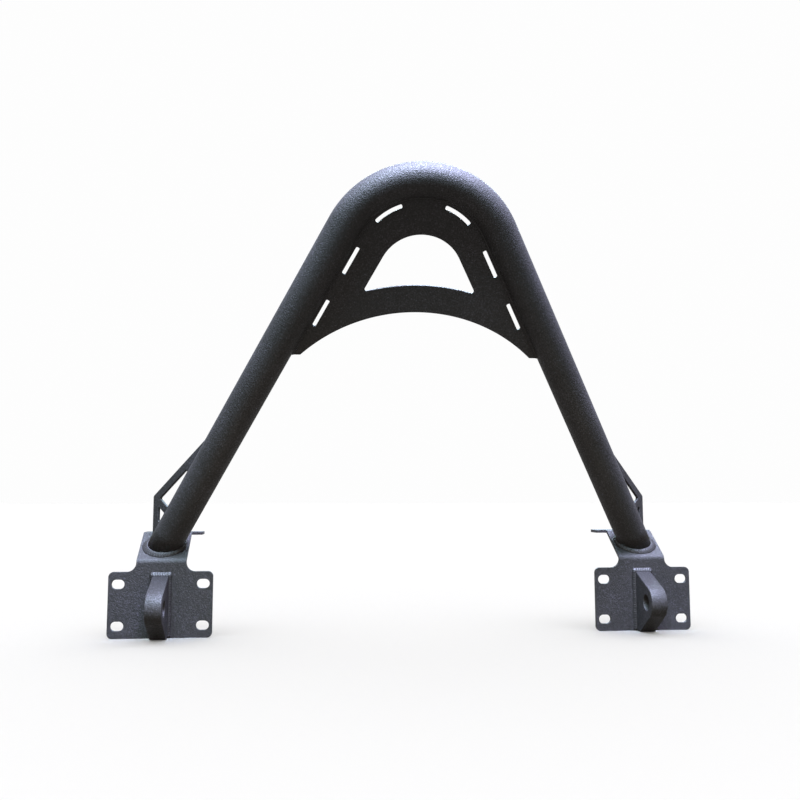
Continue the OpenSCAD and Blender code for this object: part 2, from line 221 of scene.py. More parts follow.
class FinishSizes(bpy.types.PropertyGroup):
    """Edges, corners, beads and the grain of the coat."""
    plate_edge: length("Plate edge", "Rounding that the coat gives a cut plate's edge", 0.8)
    tab_edge: length("Tab edge", "Rounding of the thick tabs' dressed edges", 1.6)
    gusset_corner: length("Gusset corner", "Radius in the corners of the gussets' windows", 2.0)
    foot_bead: length("Foot bead", "Leg of the bead round each leg's foot", 6.2)
    tab_bead: length("Tab bead", "Leg of the bead round each tab's root", 4.5)
    gusset_bead: length("Gusset bead", "Leg of the beads between gusset and leg", 3.6)
    web_bead: length("Web bead", "Leg of the beads between web and tube", 3.0)
    ripple: length("Ripple", "Spacing of the ripples in a bead", 3.8)
    grain: length("Coat grain", "Size of the coat's pimples as they are drawn", 2.0)
    tube_rings: IntProperty(name="Tube rings", description="Rings in the crown's bend",
                            default=96, min=24, max=256)


class CoatColours(bpy.types.PropertyGroup):
    """Colours of the coat and of the stage."""
    coat: colour("Coat", "Black of the powder coat", "#151312")
    # Painted shade: the darker black painted into the hollows between the coat's pimples
    painted_hollow_shade: colour("Hollows", "Black between the coat's pimples", "#0e0d0c")
    # Painted glints: the pale colour painted on the pimples' crests and on single specks
    painted_glints: colour("Painted_glint_colour", "Fine pale dust that the pimples hold", "#272528")
    floor: colour("Floor", "Pale plain floor", "#f2f1ef")
    key: colour("Key light", "Pale soft light from the upper front", "#cdeeff")
    top: colour("Top light", "Cool soft light from overhead", "#cfd3ff")
    bounce: colour("Bounce light", "Warm light that comes back off the floor", "#fff0d4")


class StageSizes(bpy.types.PropertyGroup):
    """The camera and the lights."""
    lens: FloatProperty(name="Lens", description="Focal length on a 36 mm wide sensor",
                        default=40.5, unit="CAMERA")
    place: FloatVectorProperty(
        name="Camera place", description="Where the camera stands", size=3,
        default=(-0.16502, -1.46011, 0.16639), unit="LENGTH", subtype="TRANSLATION")
    turn: FloatVectorProperty(
        name="Camera turn", description="The camera's rotation", size=3,
        default=tuple(math.radians(a) for a in (96.1509, 0.0402, -5.9535)), subtype="EULER")
    key_power: power("Key power", "Power of the key light, upper front", 800)
    top_power: power("Top power", "Power of the light overhead", 1150)
    back_power: power("Back power", "Power of the light behind the hoop", 300)
    bounce_power: power("Bounce power", "Power of each low bounce light", 1.6)
    overhead: FloatProperty(name="Overhead", description="Brightness of the cove overhead",
                            default=1.32, min=0.0)
    horizon: FloatProperty(name="Horizon", description="Brightness of the cove's walls",
                           default=0.985, min=0.0)


# ---- Powder coat ------------------------------------------------------------

# How the coat lies on each kind of piece: its grain against the common grain, its roughness,
# the depth of its pimples and how strong its painted glint specks are
COATS = {
    # The tube is sprayed in long passes, and its coat is even
    "tube": {"grain": 1.0, "roughness": 0.60, "depth": 0.95 * MM, "painted_glints": 0.16},
    # Flat faces take a little more powder, which hides more of the pimples; they get more painted
    # glint specks
    "plate": {"grain": 1.0, "roughness": 0.56, "depth": 0.70 * MM, "painted_glints": 0.26},
    # The coat runs thin over a bead's ripples and pools between them
    "weld": {"grain": 0.8, "roughness": 0.50, "depth": 0.30 * MM, "painted_glints": 0.15},
}


def powder_coat(kind):
    """Textured black powder coat: polyester powder, sprayed dry and baked. It pulls up into
    pimples as it sets, so light breaks into fine specks instead of a clear reflection."""
    name = "textured_black_powder_coat_on_" + kind
    if name in bpy.data.materials:
        return bpy.data.materials[name]
    colours = bpy.context.scene.coat_colours
    coat = COATS[kind]
    grain = bpy.context.scene.finish_sizes.grain * coat["grain"]
    material = bpy.data.materials.new(name)
    material.use_nodes = True
    tree = material.node_tree
    tree.nodes.clear()
    place = add_node(tree, "ShaderNodeTexCoord").outputs["Object"]
    # The real pimples are about 0.5 mm apart; they are drawn coarser so that they show
    pimples = add_node(tree, "ShaderNodeTexNoise", {
        "Vector": place, "Scale": 1 / grain, "Detail": 2.0, "Roughness": 0.6}).outputs["Fac"]
    # Orange peel: the flow of the melted coat, about 7 mm from crest to crest
    peel = add_node(tree, "ShaderNodeTexNoise", {
        "Vector": place, "Scale": 1 / (7 * MM), "Detail": 1.0}).outputs["Fac"]
    # Thicker and thinner spray, in patches of about 90 mm
    patches = add_node(tree, "ShaderNodeTexNoise", {
        "Vector": place, "Scale": 1 / (90 * MM), "Detail": 3.0}).outputs["Fac"]
    # Single pale specks, painted glints, up to 2 mm wide and about 5 mm apart
    apart = add_node(tree, "ShaderNodeTexVoronoi", {
        "Vector": place, "Scale": 1 / (5 * MM)}).outputs["Distance"]
    specks = add_node(tree, "ShaderNodeMapRange", {
        "Value": apart, "From Min": 0.10, "From Max": 0.24,
        "To Min": coat["painted_glints"], "To Max": 0.0}).outputs["Result"]
    height = add_node(tree, "ShaderNodeMath", {0: peel, 1: 0.35, 2: pimples},
                      operation="MULTIPLY_ADD").outputs[0]
    bump = add_node(tree, "ShaderNodeBump", {
        "Height": height, "Strength": 1.0, "Distance": coat["depth"]}).outputs["Normal"]
    # The colour follows the pimples: painted shade in their hollows and painted glints on their
    # crests and in the specks; the patches are the coat's own uneven tone
    level = add_node(tree, "ShaderNodeMath", {0: patches, 1: 0.25, 2: pimples},
                     operation="MULTIPLY_ADD").outputs[0]
    level = add_node(tree, "ShaderNodeMath", {0: level, 1: specks}, operation="ADD").outputs[0]
    tint = add_node(tree, "ShaderNodeValToRGB", {"Fac": level}, ramp=[
        (0.45, colours.painted_hollow_shade), (0.66, colours.coat), (0.90, colours.painted_glints)]).outputs["Color"]
    # The crests of the pimples are smoother than the hollows between them
    sheen = add_node(tree, "ShaderNodeMapRange", {
        "Value": pimples, "From Min": 0.35, "From Max": 0.7,
        "To Min": coat["roughness"] + 0.12,
        "To Max": coat["roughness"] - 0.08}).outputs["Result"]
    # The texture scatters most of the polyester's gloss, so its specular level is low
    shader = add_node(tree, "ShaderNodeBsdfPrincipled", {
        "Base Color": tint, "Roughness": sheen, "IOR": 1.5, "Specular IOR Level": 0.12,
        "Normal": bump})
    add_node(tree, "ShaderNodeOutputMaterial", {"Surface": shader.outputs["BSDF"]})
    return material


def finish_piece(piece, kind, *nodes):
    """Coat a piece, let it stand for CAD nodes and ride on the hoop."""
    piece.data.materials.append(powder_coat(kind))
    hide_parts(*nodes)
    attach(piece, "root")


def plane_at(origin, x_way, y_way):
    """A place whose X and Y lie along two directions square to each other."""
    place = Matrix((x_way, y_way, x_way.cross(y_way))).transposed().to_4x4()
    place.translation = origin
    return place


def new_piece(name, data):
    """An object in the scene that holds a mesh, a lamp or a camera."""
    piece = bpy.data.objects.new(name, data)
    bpy.context.scene.collection.objects.link(piece)
    return piece


# ---- The hoop's own directions ----------------------------------------------

class Hoop:
    """Points and directions of the hoop, in metres, taken from the sizes and the CAD box."""

    def __init__(self, sizes):
        self.sizes = sizes
        self.radius = sizes.tube_diameter / 2
        self.up = Vector((0, -math.sin(sizes.lean), math.cos(sizes.lean)))
        self.front = Vector((0, -math.cos(sizes.lean), -math.sin(sizes.lean)))
        self.leg_length = ((sizes.spacing / 2 - sizes.bend_radius * math.sin(sizes.leg_angle))
                           / math.cos(sizes.leg_angle))
        self.crown_height = (self.leg_length * math.sin(sizes.leg_angle)
                             - sizes.bend_radius * math.cos(sizes.leg_angle))
        self.seat_up = Vector((0, -math.sin(sizes.seat_slope), math.cos(sizes.seat_slope)))
        # Distance from the tube's centreline at which a plate's face meets the tube
        self.plate_reach = math.sqrt(self.radius ** 2 - (sizes.plate / 2) ** 2)
        # Midway between the feet; the tube's box touches the front and the top of the crown
        rise = self.crown_height + sizes.bend_radius
        low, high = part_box("hoop_tube")
        self.base = Vector((0, low[1] + self.radius + rise * math.sin(sizes.lean),
                            high[2] - self.radius - rise * math.cos(sizes.lean)))

    def foot(self, side):
        """Centre of a leg's foot."""
        return self.base + side * self.sizes.spacing / 2 * RIGHTWARD

    def leg_up(self, side):
        """Direction up a leg."""
        return (math.sin(self.sizes.leg_angle) * self.up
                - side * math.cos(self.sizes.leg_angle) * RIGHTWARD)

    def centreline(self, along):
        """Centre of the tube and its direction out of the hoop, at a distance along the tube
        from the crown's middle; a point to the right has a positive distance."""
        side = 1 if along > 0 else -1
        half_bend = self.sizes.bend_radius * self.sizes.leg_angle
        swing = min(abs(along), half_bend) / self.sizes.bend_radius
        out = side * math.sin(swing) * RIGHTWARD + math.cos(swing) * self.up
        centre = self.base + self.crown_height * self.up + self.sizes.bend_radius * out
        centre -= max(abs(along) - half_bend, 0) * self.leg_up(side)
        return centre, out

    def to_seat(self, point, side):
        """Slide a point along its leg onto the seat's plane."""
        way = self.leg_up(side)
        return point - way * ((point - self.foot(side)).dot(self.seat_up) / way.dot(self.seat_up))


# ---- Mesh builders ----------------------------------------------------------

def skin_rings(name, rings, closed_way):
    """A closed skin over rings of points; closed_way joins the last ring to the first,
    and otherwise each end gets a cap."""
    count = len(rings[0])
    points = [point for ring in rings for point in ring]
    faces = []
    for i in range(len(rings) if closed_way else len(rings) - 1):
        a, b = i * count, (i + 1) % len(rings) * count
        for j in range(count):
            k = (j + 1) % count
            faces.append((a + j, a + k, b + k, b + j))
    if not closed_way:
        faces.append(tuple(range(count))[::-1])
        faces.append(tuple(range((len(rings) - 1) * count, len(rings) * count)))
    data = bpy.data.meshes.new(name)
    data.from_pydata(points, [], faces)
    mesh = bmesh.new()
    mesh.from_mesh(data)
    bmesh.ops.recalc_face_normals(mesh, faces=mesh.faces)
    mesh.to_mesh(data)
    mesh.free()
    data.polygons.foreach_set("use_smooth", [True] * len(data.polygons))
    return data


def lay_bead(name, path, leg, closed=False, nodes=()):
    """A coated hand-laid bead along a path of corners. Each stop of the path is the corner's
    point and the directions away from it along the two faces that the bead joins. It stands
    for the CAD bead of its own name, or for the nodes given."""
    travelled = [0.0]
    for (before, _, _), (here, _, _) in zip(path, path[1:]):
        travelled.append(travelled[-1] + (here - before).length)
    total = travelled[-1] + ((path[0][0] - path[-1][0]).length if closed else 0.0)
    ripple = bpy.context.scene.finish_sizes.ripple
    pitch = total / max(round(total / ripple), 1)
    seed = sum(name.encode())
    rings = []
    for (corner, first, second), done in zip(path, travelled):
        # The hand's wander; a circle through the noise lets a closed bead meet its start
        turn = math.tau * done / total
        wander = 1 + BEAD_WANDER * noise.noise(Vector((
            math.cos(turn) * total * WANDER_RATE, math.sin(turn) * total * WANDER_RATE, seed)))
        # An open bead tapers round at its two ends
        end = 1.0 if closed else min(1.0, min(done, total - done) / leg)
        size = leg * wander * math.sqrt(max(1 - (1 - end) ** 2, BEAD_TIP))
        ring = [corner - BEAD_SINK * (first + second)]
        for i in range(BEAD_SIDES):
            turn = math.pi / 2 * i / (BEAD_SIDES - 1)
            bulge = math.sin(2 * turn)
            # Each ripple lags in the bead's middle, so that it is curved like a fingernail
            phase = math.pi * (done + RIPPLE_LAG * leg * bulge) / pitch
            swell = 1 + RIPPLE_RISE * bulge * abs(math.sin(phase)) ** RIPPLE_SHAPE
            reach = size / (math.cos(turn) + math.sin(turn)) * swell
            point = corner + reach * (math.cos(turn) * first + math.sin(turn) * second)
            if i == 0:
                point -= BEAD_SINK * second
            elif i == BEAD_SIDES - 1:
                point -= BEAD_SINK * first
            ring.append(point)
        rings.append(ring)
    bead = new_piece(name + "_bead", skin_rings(name + "_bead", rings, closed))
    finish_piece(bead, "weld", *(nodes or (name,)))


def even(start, stop, steps):
    """Even stops from start to stop."""
    return [start + (stop - start) * i / steps for i in range(steps + 1)]


def spread(start, stop, step):
    """Even stops from start to stop, about a step apart."""
    return even(start, stop, max(round(abs((stop - start) / step)), 1))


def circle(centre, radius, first, second, count):
    """Points round a circle that starts along one direction and turns towards another."""
    turns = [math.tau * i / count for i in range(count)]
    return [centre + radius * (math.cos(turn) * first + math.sin(turn) * second)
            for turn in turns]


def cad_mesh(node):
    """The mesh of a CAD node, with its points joined."""
    mesh = bmesh.new()
    mesh.from_mesh(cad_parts[node].data)
    bmesh.ops.remove_doubles(mesh, verts=mesh.verts, dist=SAME_POINT)
    return mesh


def rounded_copy(node, edge):
    """A copy of a folded CAD plate with rounded edges."""
    mesh = cad_mesh(node)
    bmesh.ops.dissolve_limit(mesh, angle_limit=SAME_PLANE, verts=mesh.verts, edges=mesh.edges)
    data = bpy.data.meshes.new(node + "_finished")
    mesh.to_mesh(data)
    mesh.free()
    data.polygons.foreach_set("use_smooth", [True] * len(data.polygons))
    piece = new_piece(node + "_finished", data)
    bevel = piece.modifiers.new("edge", "BEVEL")
    bevel.width = edge
    bevel.segments = BEVEL_STEPS
    bevel.limit_method = "ANGLE"
    bevel.angle_limit = SHARP_EDGE
    weighted = piece.modifiers.new("normals", "WEIGHTED_NORMAL")
    weighted.keep_sharp = True
    return piece


def arc(centre, radius, start, stop, steps):
    """Points on an arc between two angles in degrees."""
    return [centre + radius * Vector((math.cos(math.radians(a)), math.sin(math.radians(a))))
            for a in even(start, stop, steps)]


def belt(circles):
    """A belt round circles given anticlockwise as X, Y and radius; radius 0 is a sharp corner."""
    def side_angle(a, b):
        """Angle at which the belt's straight from one circle to the next faces outwards."""
        run = Vector(b[:2]) - Vector(a[:2])
        return math.atan2(run.y, run.x) - math.acos((a[2] - b[2]) / run.length)

    outline = []
    for i, here in enumerate(circles):
        centre = Vector(here[:2])
        if here[2] == 0:
            outline.append(centre)
            continue
        start = side_angle(circles[i - 1], here)
        sweep = (side_angle(here, circles[(i + 1) % len(circles)]) - start) % math.tau
        outline += arc(centre, here[2], math.degrees(start), math.degrees(start + sweep),
                       NOSE_STEPS)
    return outline


def node_outlines(node, place, corner):
    """The outlines of a CAD plate's face, as X and Y in the plate's place. Of the two faces it
    takes the one that reaches lower, so that a slanting foot leaves no gap. The corners of the
    windows get a radius."""
    mesh = cad_mesh(node)
    mesh.transform(place.inverted())
    mesh.normal_update()
    skins = [[f for f in mesh.faces if f.normal.z * side > SQUARE_ON] for side in (1, -1)]
    skin = min(skins, key=lambda faces: min(v.co.y for f in faces for v in f.verts))
    # Each point on the skin's rim, with the point that follows it
    onward = {}
    for face in skin:
        for loop in face.loops:
            if not any(f in skin for f in loop.edge.link_faces if f is not face):
                onward[loop.vert] = loop.link_loop_next.vert
    outlines = []
    while onward:
        spot = next(iter(onward))
        outline = []
        while spot in onward:
            outline.append(spot.co.xy.copy())
            spot = onward.pop(spot)
        outlines.append(outline)
    mesh.free()
    # The plate's own edge is the widest outline and comes last
    outlines.sort(key=lambda outline: max(p.x for p in outline) - min(p.x for p in outline))
    return [round_corners(outline, corner) for outline in outlines[:-1]] + outlines[-1:]


def round_corners(outline, radius):
    """An outline with a radius in each sharp corner."""
    rounded = []
    for i, here in enumerate(outline):
        back = (outline[i - 1] - here).normalized()
        ahead = (outline[(i + 1) % len(outline)] - here).normalized()
        half = back.angle(ahead) / 2
        if math.pi - 2 * half < SHARP_CORNER:
            rounded.append(here)
            continue
        centre = here + (back + ahead).normalized() * radius / math.sin(half)
        start, stop = here + back * radius / math.tan(half), here + ahead * radius / math.tan(half)
        for share in even(0, 1, GUSSET_CORNER_STEPS):
            spoke = (start - centre).slerp(stop - centre, share).normalized()
            rounded.append(centre + radius * spoke)
    return rounded


def web_outlines(hoop, web):
    """The web's edge, its window and its slots, as X and height in the hoop's plane."""
    leg = hoop.sizes.leg_angle
    tilt = 90 - math.degrees(leg)
    crown = Vector((0, hoop.crown_height))
    edge = hoop.sizes.bend_radius - hoop.plate_reach
    arch = crown - Vector((0, web.arch_drop + web.arch_radius))
    end_x = (edge + web.drop * math.cos(leg)) / math.sin(leg)
    end_height = hoop.crown_height - web.drop
    swing = math.degrees(math.asin((end_height - arch.y) / web.arch_radius))
    outer = ([Vector((end_x, end_height))]
             + arc(crown, edge, tilt, 180 - tilt, CROWN_STEPS)
             + [Vector((-end_x, end_height))]
             + arc(arch, web.arch_radius, 180 - swing, swing, ARCH_STEPS))

    # The centre of the window's lower corner lies inside the straight side and above the sill
    top = crown - Vector((0, web.window_drop))
    sill = web.arch_radius + web.band
    inset, outset = web.window_radius - web.window_corner, sill + web.window_corner
    pitch = arch.y - top.y
    half = inset * math.cos(leg) + pitch * math.sin(leg) ** 2
    rest = inset ** 2 + math.sin(leg) ** 2 * (pitch ** 2 - outset ** 2)
    rise = half + math.sqrt(half ** 2 - rest)
    corner = top + Vector(((inset - rise * math.cos(leg)) / math.sin(leg), rise))
    other = Vector((-corner.x, corner.y))
    lean = math.degrees(math.atan2(corner.x, corner.y - arch.y))
    window = (arc(top, web.window_radius, tilt, 180 - tilt, WINDOW_STEPS)
              + arc(other, web.window_corner, 180 - tilt, 270 + lean, WINDOW_CORNER_STEPS)
              + arc(arch, sill, 90 + lean, 90 - lean, SILL_STEPS)[1:-1]
              + arc(corner, web.window_corner, 270 - lean, 360 + tilt, WINDOW_CORNER_STEPS))

    # A straight slot first, with stops along its two long sides, and then each one in its place
    radius = web.slot_corner
    x, y = web.slot_length / 2 - radius, web.slot_width / 2 - radius
    flat = []
    for centre, turn in ((x, y), 0), ((-x, y), 90), ((-x, -y), 180), ((x, -y), 270):
        flat += arc(Vector(centre), radius, turn, turn + 90, SLOT_CORNER_STEPS)
    slot = []
    for here, after in zip(flat, flat[1:] + flat[:1]):
        steps = SLOT_SIDE_STEPS if (after - here).length > 2 * radius else 1
        slot += [here.lerp(after, share) for share in even(0, 1, steps)[:-1]]
    line = hoop.sizes.bend_radius - hoop.radius - web.slot_gap
    bend = line * leg
    slots = []
    for number in range(SLOTS_EACH_SIDE):
        middle = web.slot_first + number * web.slot_pitch
        right = []
        for point in slot:
            along = middle + point.x
            turn = min(along, bend) / line
            out = Vector((math.sin(turn), math.cos(turn)))
            right.append(crown + (line + point.y) * out
                         + max(along - bend, 0) * Vector((out.y, -out.x)))
        slots += [right, [Vector((-p.x, p.y)) for p in right]]
    return [outer, window, *slots]


def cut_plate(name, outlines, thickness, edge, place):
    """A plate cut to outlines, with rounded edges, lying across a place's Z axis."""
    curve = bpy.data.curves.new(name, "CURVE")
    curve.dimensions = "2D"
    curve.fill_mode = "BOTH"
    curve.extrude = thickness / 2 - edge
    curve.bevel_depth = edge
    curve.bevel_resolution = CUT_EDGE_STEPS
    curve.offset = -edge
    for outline in outlines:
        spline = curve.splines.new("POLY")
        spline.points.add(len(outline) - 1)
        for spot, point in zip(spline.points, outline):
            spot.co = (*point, 0, 1)
        spline.use_cyclic_u = True
    holder = bpy.data.objects.new(name, curve)
    data = bpy.data.meshes.new_from_object(holder)
    data.name = name
    data.transform(place)
    mesh = bmesh.new()
    mesh.from_mesh(data)
    bmesh.ops.remove_doubles(mesh, verts=mesh.verts, dist=SAME_CUT_POINT)
    bmesh.ops.recalc_face_normals(mesh, faces=mesh.faces)
    # The plate's two faces stay flat
    way = place.to_3x3() @ Vector((0, 0, 1))
    for face in mesh.faces:
        face.smooth = abs(face.normal.dot(way)) < SQUARE_ON
    mesh.to_mesh(data)
    mesh.free()
    bpy.data.objects.remove(holder)
    bpy.data.curves.remove(curve)
    return new_piece(name, data)


# ---- Operators --------------------------------------------------------------

class BendTube(bpy.types.Operator):
    """Bend the hoop's tube, cut its feet to the seats and coat it"""
    bl_idname = "bumper_hoop.bend_tube"
    bl_label = "Bend the tube"

    def execute(self, context):
        sizes = context.scene.hoop_sizes
        finish = context.scene.finish_sizes
        hoop = Hoop(sizes)
        half_bend = sizes.bend_radius * sizes.leg_angle
        reach = half_bend + hoop.leg_length
        stops = (spread(-reach, -half_bend, LEG_STEP)[:-1]
                 + even(-half_bend, half_bend, finish.tube_rings)
                 + spread(half_bend, reach, LEG_STEP)[1:])
        skins = []
        for radius in (hoop.radius, hoop.radius - sizes.tube_wall):
            rings = []
            for along in stops:
                centre, out = hoop.centreline(along)
                rings.append(circle(centre, radius, out, hoop.front, TUBE_SIDES))
            # The first ring is the left foot and the last one is the right foot
            for foot, side in (0, -1), (-1, 1):
                rings[foot] = [hoop.to_seat(point, side) for point in rings[foot]]
            skins.append(rings)
        outer, inner = skins
        data = skin_rings("hoop_tube_coated", outer + inner[::-1], True)
        # The cut faces at the feet stay flat
        foot_rims = len(stops) - 1, 2 * len(stops) - 1
        for polygon in data.polygons:
            if polygon.index // TUBE_SIDES in foot_rims:
                polygon.use_smooth = False
        finish_piece(new_piece("hoop_tube_coated", data), "tube", "hoop_tube")
        return {"FINISHED"}


class CutWeb(bpy.types.Operator):
    """Cut the web plate with its window and slots, and coat it"""
    bl_idname = "bumper_hoop.cut_web"
    bl_label = "Cut the web"

    def execute(self, context):
        sizes = context.scene.hoop_sizes
        hoop = Hoop(sizes)
        place = plane_at(hoop.base, RIGHTWARD, hoop.up)
        web = cut_plate("web_plate_cut", web_outlines(hoop, context.scene.web_sizes),
                        sizes.plate, context.scene.finish_sizes.plate_edge, place)
        finish_piece(web, "plate", "web_plate")
        return {"FINISHED"}


class FoldBrackets(bpy.types.Operator):
    """Dress the edges of the two folded brackets and coat them"""
    bl_idname = "bumper_hoop.fold_brackets"
    bl_label = "Fold the brackets"

    def execute(self, context):
        edge = context.scene.finish_sizes.plate_edge
        for side_name in SIDES:
            bracket = side_name + "_bracket"
            finish_piece(rounded_copy(bracket, edge), "plate", bracket)
        return {"FINISHED"}


class CutGussets(bpy.types.Operator):
    """Cut the two windowed gussets that stand upright behind the legs, and coat them"""
    bl_idname = "bumper_hoop.cut_gussets"
    bl_label = "Cut the gussets"

    def execute(self, context):
        sizes = context.scene.hoop_sizes
        finish = context.scene.finish_sizes
        hoop = Hoop(sizes)
        for side_name, side in SIDES.items():
            gusset = side_name + "_gusset"
            way = hoop.leg_up(side)
            outward = Vector((-way.x, -way.y, 0)).normalized()
            place = plane_at(hoop.foot(side), outward, UPRIGHT)
            outlines = node_outlines(gusset, place, finish.gusset_corner)
            finish_piece(cut_plate(gusset + "_cut", outlines, sizes.plate, finish.plate_edge,
                                   place), "plate", gusset)
        return {"FINISHED"}


class CutTabs(bpy.types.Operator):
    """Cut the two thick shackle tabs, dress their edges and coat them"""
    bl_idname = "bumper_hoop.cut_tabs"
    bl_label = "Cut the tabs"

    def execute(self, context):
        sizes = context.scene.hoop_sizes
        tabs = context.scene.tab_sizes
        low = CAD_BOX[0].z
        pin = tabs.pin_reach, -tabs.pin_drop
        toe = tabs.toe_reach - tabs.toe_radius, low + tabs.toe_radius
        outline = belt([(0, low, 0), (*toe, tabs.toe_radius), (*pin, tabs.nose_radius),
                        (0, tabs.root_top, 0)])
        eye = arc(Vector(pin), tabs.pin_diameter / 2, 0, 360, EYE_STEPS)[:-1]
        for side_name, side in SIDES.items():
            tab = side_name + "_shackle_tab"
            root = Vector((side * sizes.spacing / 2, -sizes.plate, 0))
            finish_piece(cut_plate(tab + "_cut", [outline, eye], tabs.thickness,
                                   context.scene.finish_sizes.tab_edge,
                                   plane_at(root, FORWARD, UPRIGHT)), "plate", tab)
        return {"FINISHED"}


class LayFootBeads(bpy.types.Operator):
    """Lay the bead round each leg's foot and coat it"""
    bl_idname = "bumper_hoop.lay_foot_beads"
    bl_label = "Lay the foot beads"

    def execute(self, context):
        finish = context.scene.finish_sizes
        hoop = Hoop(context.scene.hoop_sizes)
        for side_name, side in SIDES.items():
            way = hoop.leg_up(side)
            first = way.cross(UPRIGHT).normalized()
            second = way.cross(first)
            corners = [hoop.to_seat(point, side) for point in circle(
                hoop.foot(side), hoop.radius, first, second, FOOT_BEAD_STOPS)]
            path = []
            for i, corner in enumerate(corners):
                run = corners[(i + 1) % len(corners)] - corners[i - 1]
                out = run.cross(hoop.seat_up).normalized()
                if out.dot(corner - hoop.foot(side)) < 0:
                    out.negate()
                path.append((corner, out, way))
            lay_bead(side_name + "_foot_weld", path, finish.foot_bead, closed=True)
        return {"FINISHED"}


class LayTabBeads(bpy.types.Operator):
    """Lay the bead up, over and down each shackle tab's root, and coat it"""
    bl_idname = "bumper_hoop.lay_tab_beads"
    bl_label = "Lay the tab beads"

    def execute(self, context):
        sizes = context.scene.hoop_sizes
        finish = context.scene.finish_sizes
        tabs = context.scene.tab_sizes
        half = tabs.thickness / 2
        low, high = CAD_BOX[0].z, tabs.root_top
        # The tab's top face slopes down to the nose, and the bead over the root lies along it
        run = Vector((tabs.pin_reach, -tabs.pin_drop - tabs.root_top))
        fall = math.atan2(run.y, run.x) + math.asin(tabs.nose_radius / run.length)
        slope = math.cos(fall) * FORWARD + math.sin(fall) * UPRIGHT
        step = finish.ripple / BEAD_STOPS_PER_RIPPLE
        quarter = even(0, math.pi / 2, BEAD_CORNER_STEPS)[1:-1]
        # Each stop has its X, its height and how far the bead's first direction has turned from
        # left, over upwards, to right
        stops = ([(-half, z, 0) for z in spread(low, high, step)]
                 + [(-half, high, turn) for turn in quarter]
                 + [(x, high, math.pi / 2) for x in spread(-half, half, step)]
                 + [(half, high, math.pi / 2 + turn) for turn in quarter]
                 + [(half, z, math.pi) for z in spread(high, low, step)])
        for side_name, side in SIDES.items():
            path = []
            for x, z, turn in stops:
                corner = Vector((side * sizes.spacing / 2 + x, -sizes.plate, z))
                first = math.sin(turn) * UPRIGHT - math.cos(turn) * RIGHTWARD
                path.append((corner, first, FORWARD.lerp(slope, math.sin(turn))))
            lay_bead(side_name + "_tab_weld", path, finish.tab_bead)
        return {"FINISHED"}


class LayGussetBeads(bpy.types.Operator):
    """Lay the beads between each gusset's two faces and its leg, and coat them"""
    bl_idname = "bumper_hoop.lay_gusset_beads"
    bl_label = "Lay the gusset beads"

    def execute(self, context):
        sizes = context.scene.hoop_sizes
        finish = context.scene.finish_sizes
        hoop = Hoop(sizes)
        reach = hoop.plate_reach
        for side_name, side in SIDES.items():
            way = hoop.leg_up(side)
            across = Vector((way.y, -way.x, 0)).normalized()
            if across.y > 0:
                across.negate()
            out = across.cross(way).normalized()
            if out.x * side < 0:
                out.negate()
            for face_name, face in FACES.items():
                name = side_name + "_gusset_weld_" + face_name
                low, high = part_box(name)
                start = hoop.foot(side) + reach * out + face * sizes.plate / 2 * across
                away = (reach * face * across - sizes.plate / 2 * out).normalized()
                path = [(start + s * way, out, away)
                        for s in spread((low[2] - start.z) / way.z, (high[2] - start.z) / way.z,
                                        finish.ripple / BEAD_STOPS_PER_RIPPLE)]
                lay_bead(name, path, finish.gusset_bead)
        return {"FINISHED"}


class LayWebBeads(bpy.types.Operator):
    """Lay the long beads between the web's two faces and the tube, and coat them"""
    bl_idname = "bumper_hoop.lay_web_beads"
    bl_label = "Lay the web beads"

    def execute(self, context):
        sizes = context.scene.hoop_sizes
        finish = context.scene.finish_sizes
        hoop = Hoop(sizes)
        reach = hoop.plate_reach
        # Straight run from the end of the bend to the web's square-cut end
        run = ((sizes.bend_radius - reach) * math.cos(sizes.leg_angle)
               + context.scene.web_sizes.drop) / math.sin(sizes.leg_angle)
        end = sizes.bend_radius * sizes.leg_angle + run
        for face_name, face in FACES.items():
            path = []
            for along in spread(-end, end, finish.ripple / BEAD_STOPS_PER_RIPPLE):
                centre, out = hoop.centreline(along)
                corner = centre - reach * out + face * sizes.plate / 2 * hoop.front
                away = (reach * face * hoop.front + sizes.plate / 2 * out).normalized()
                path.append((corner, -out, away))
            name = "web_weld_" + face_name
            lay_bead(name, path, finish.web_bead,
                     nodes=(name + "_left", name + "_crown", name + "_right"))
        return {"FINISHED"}


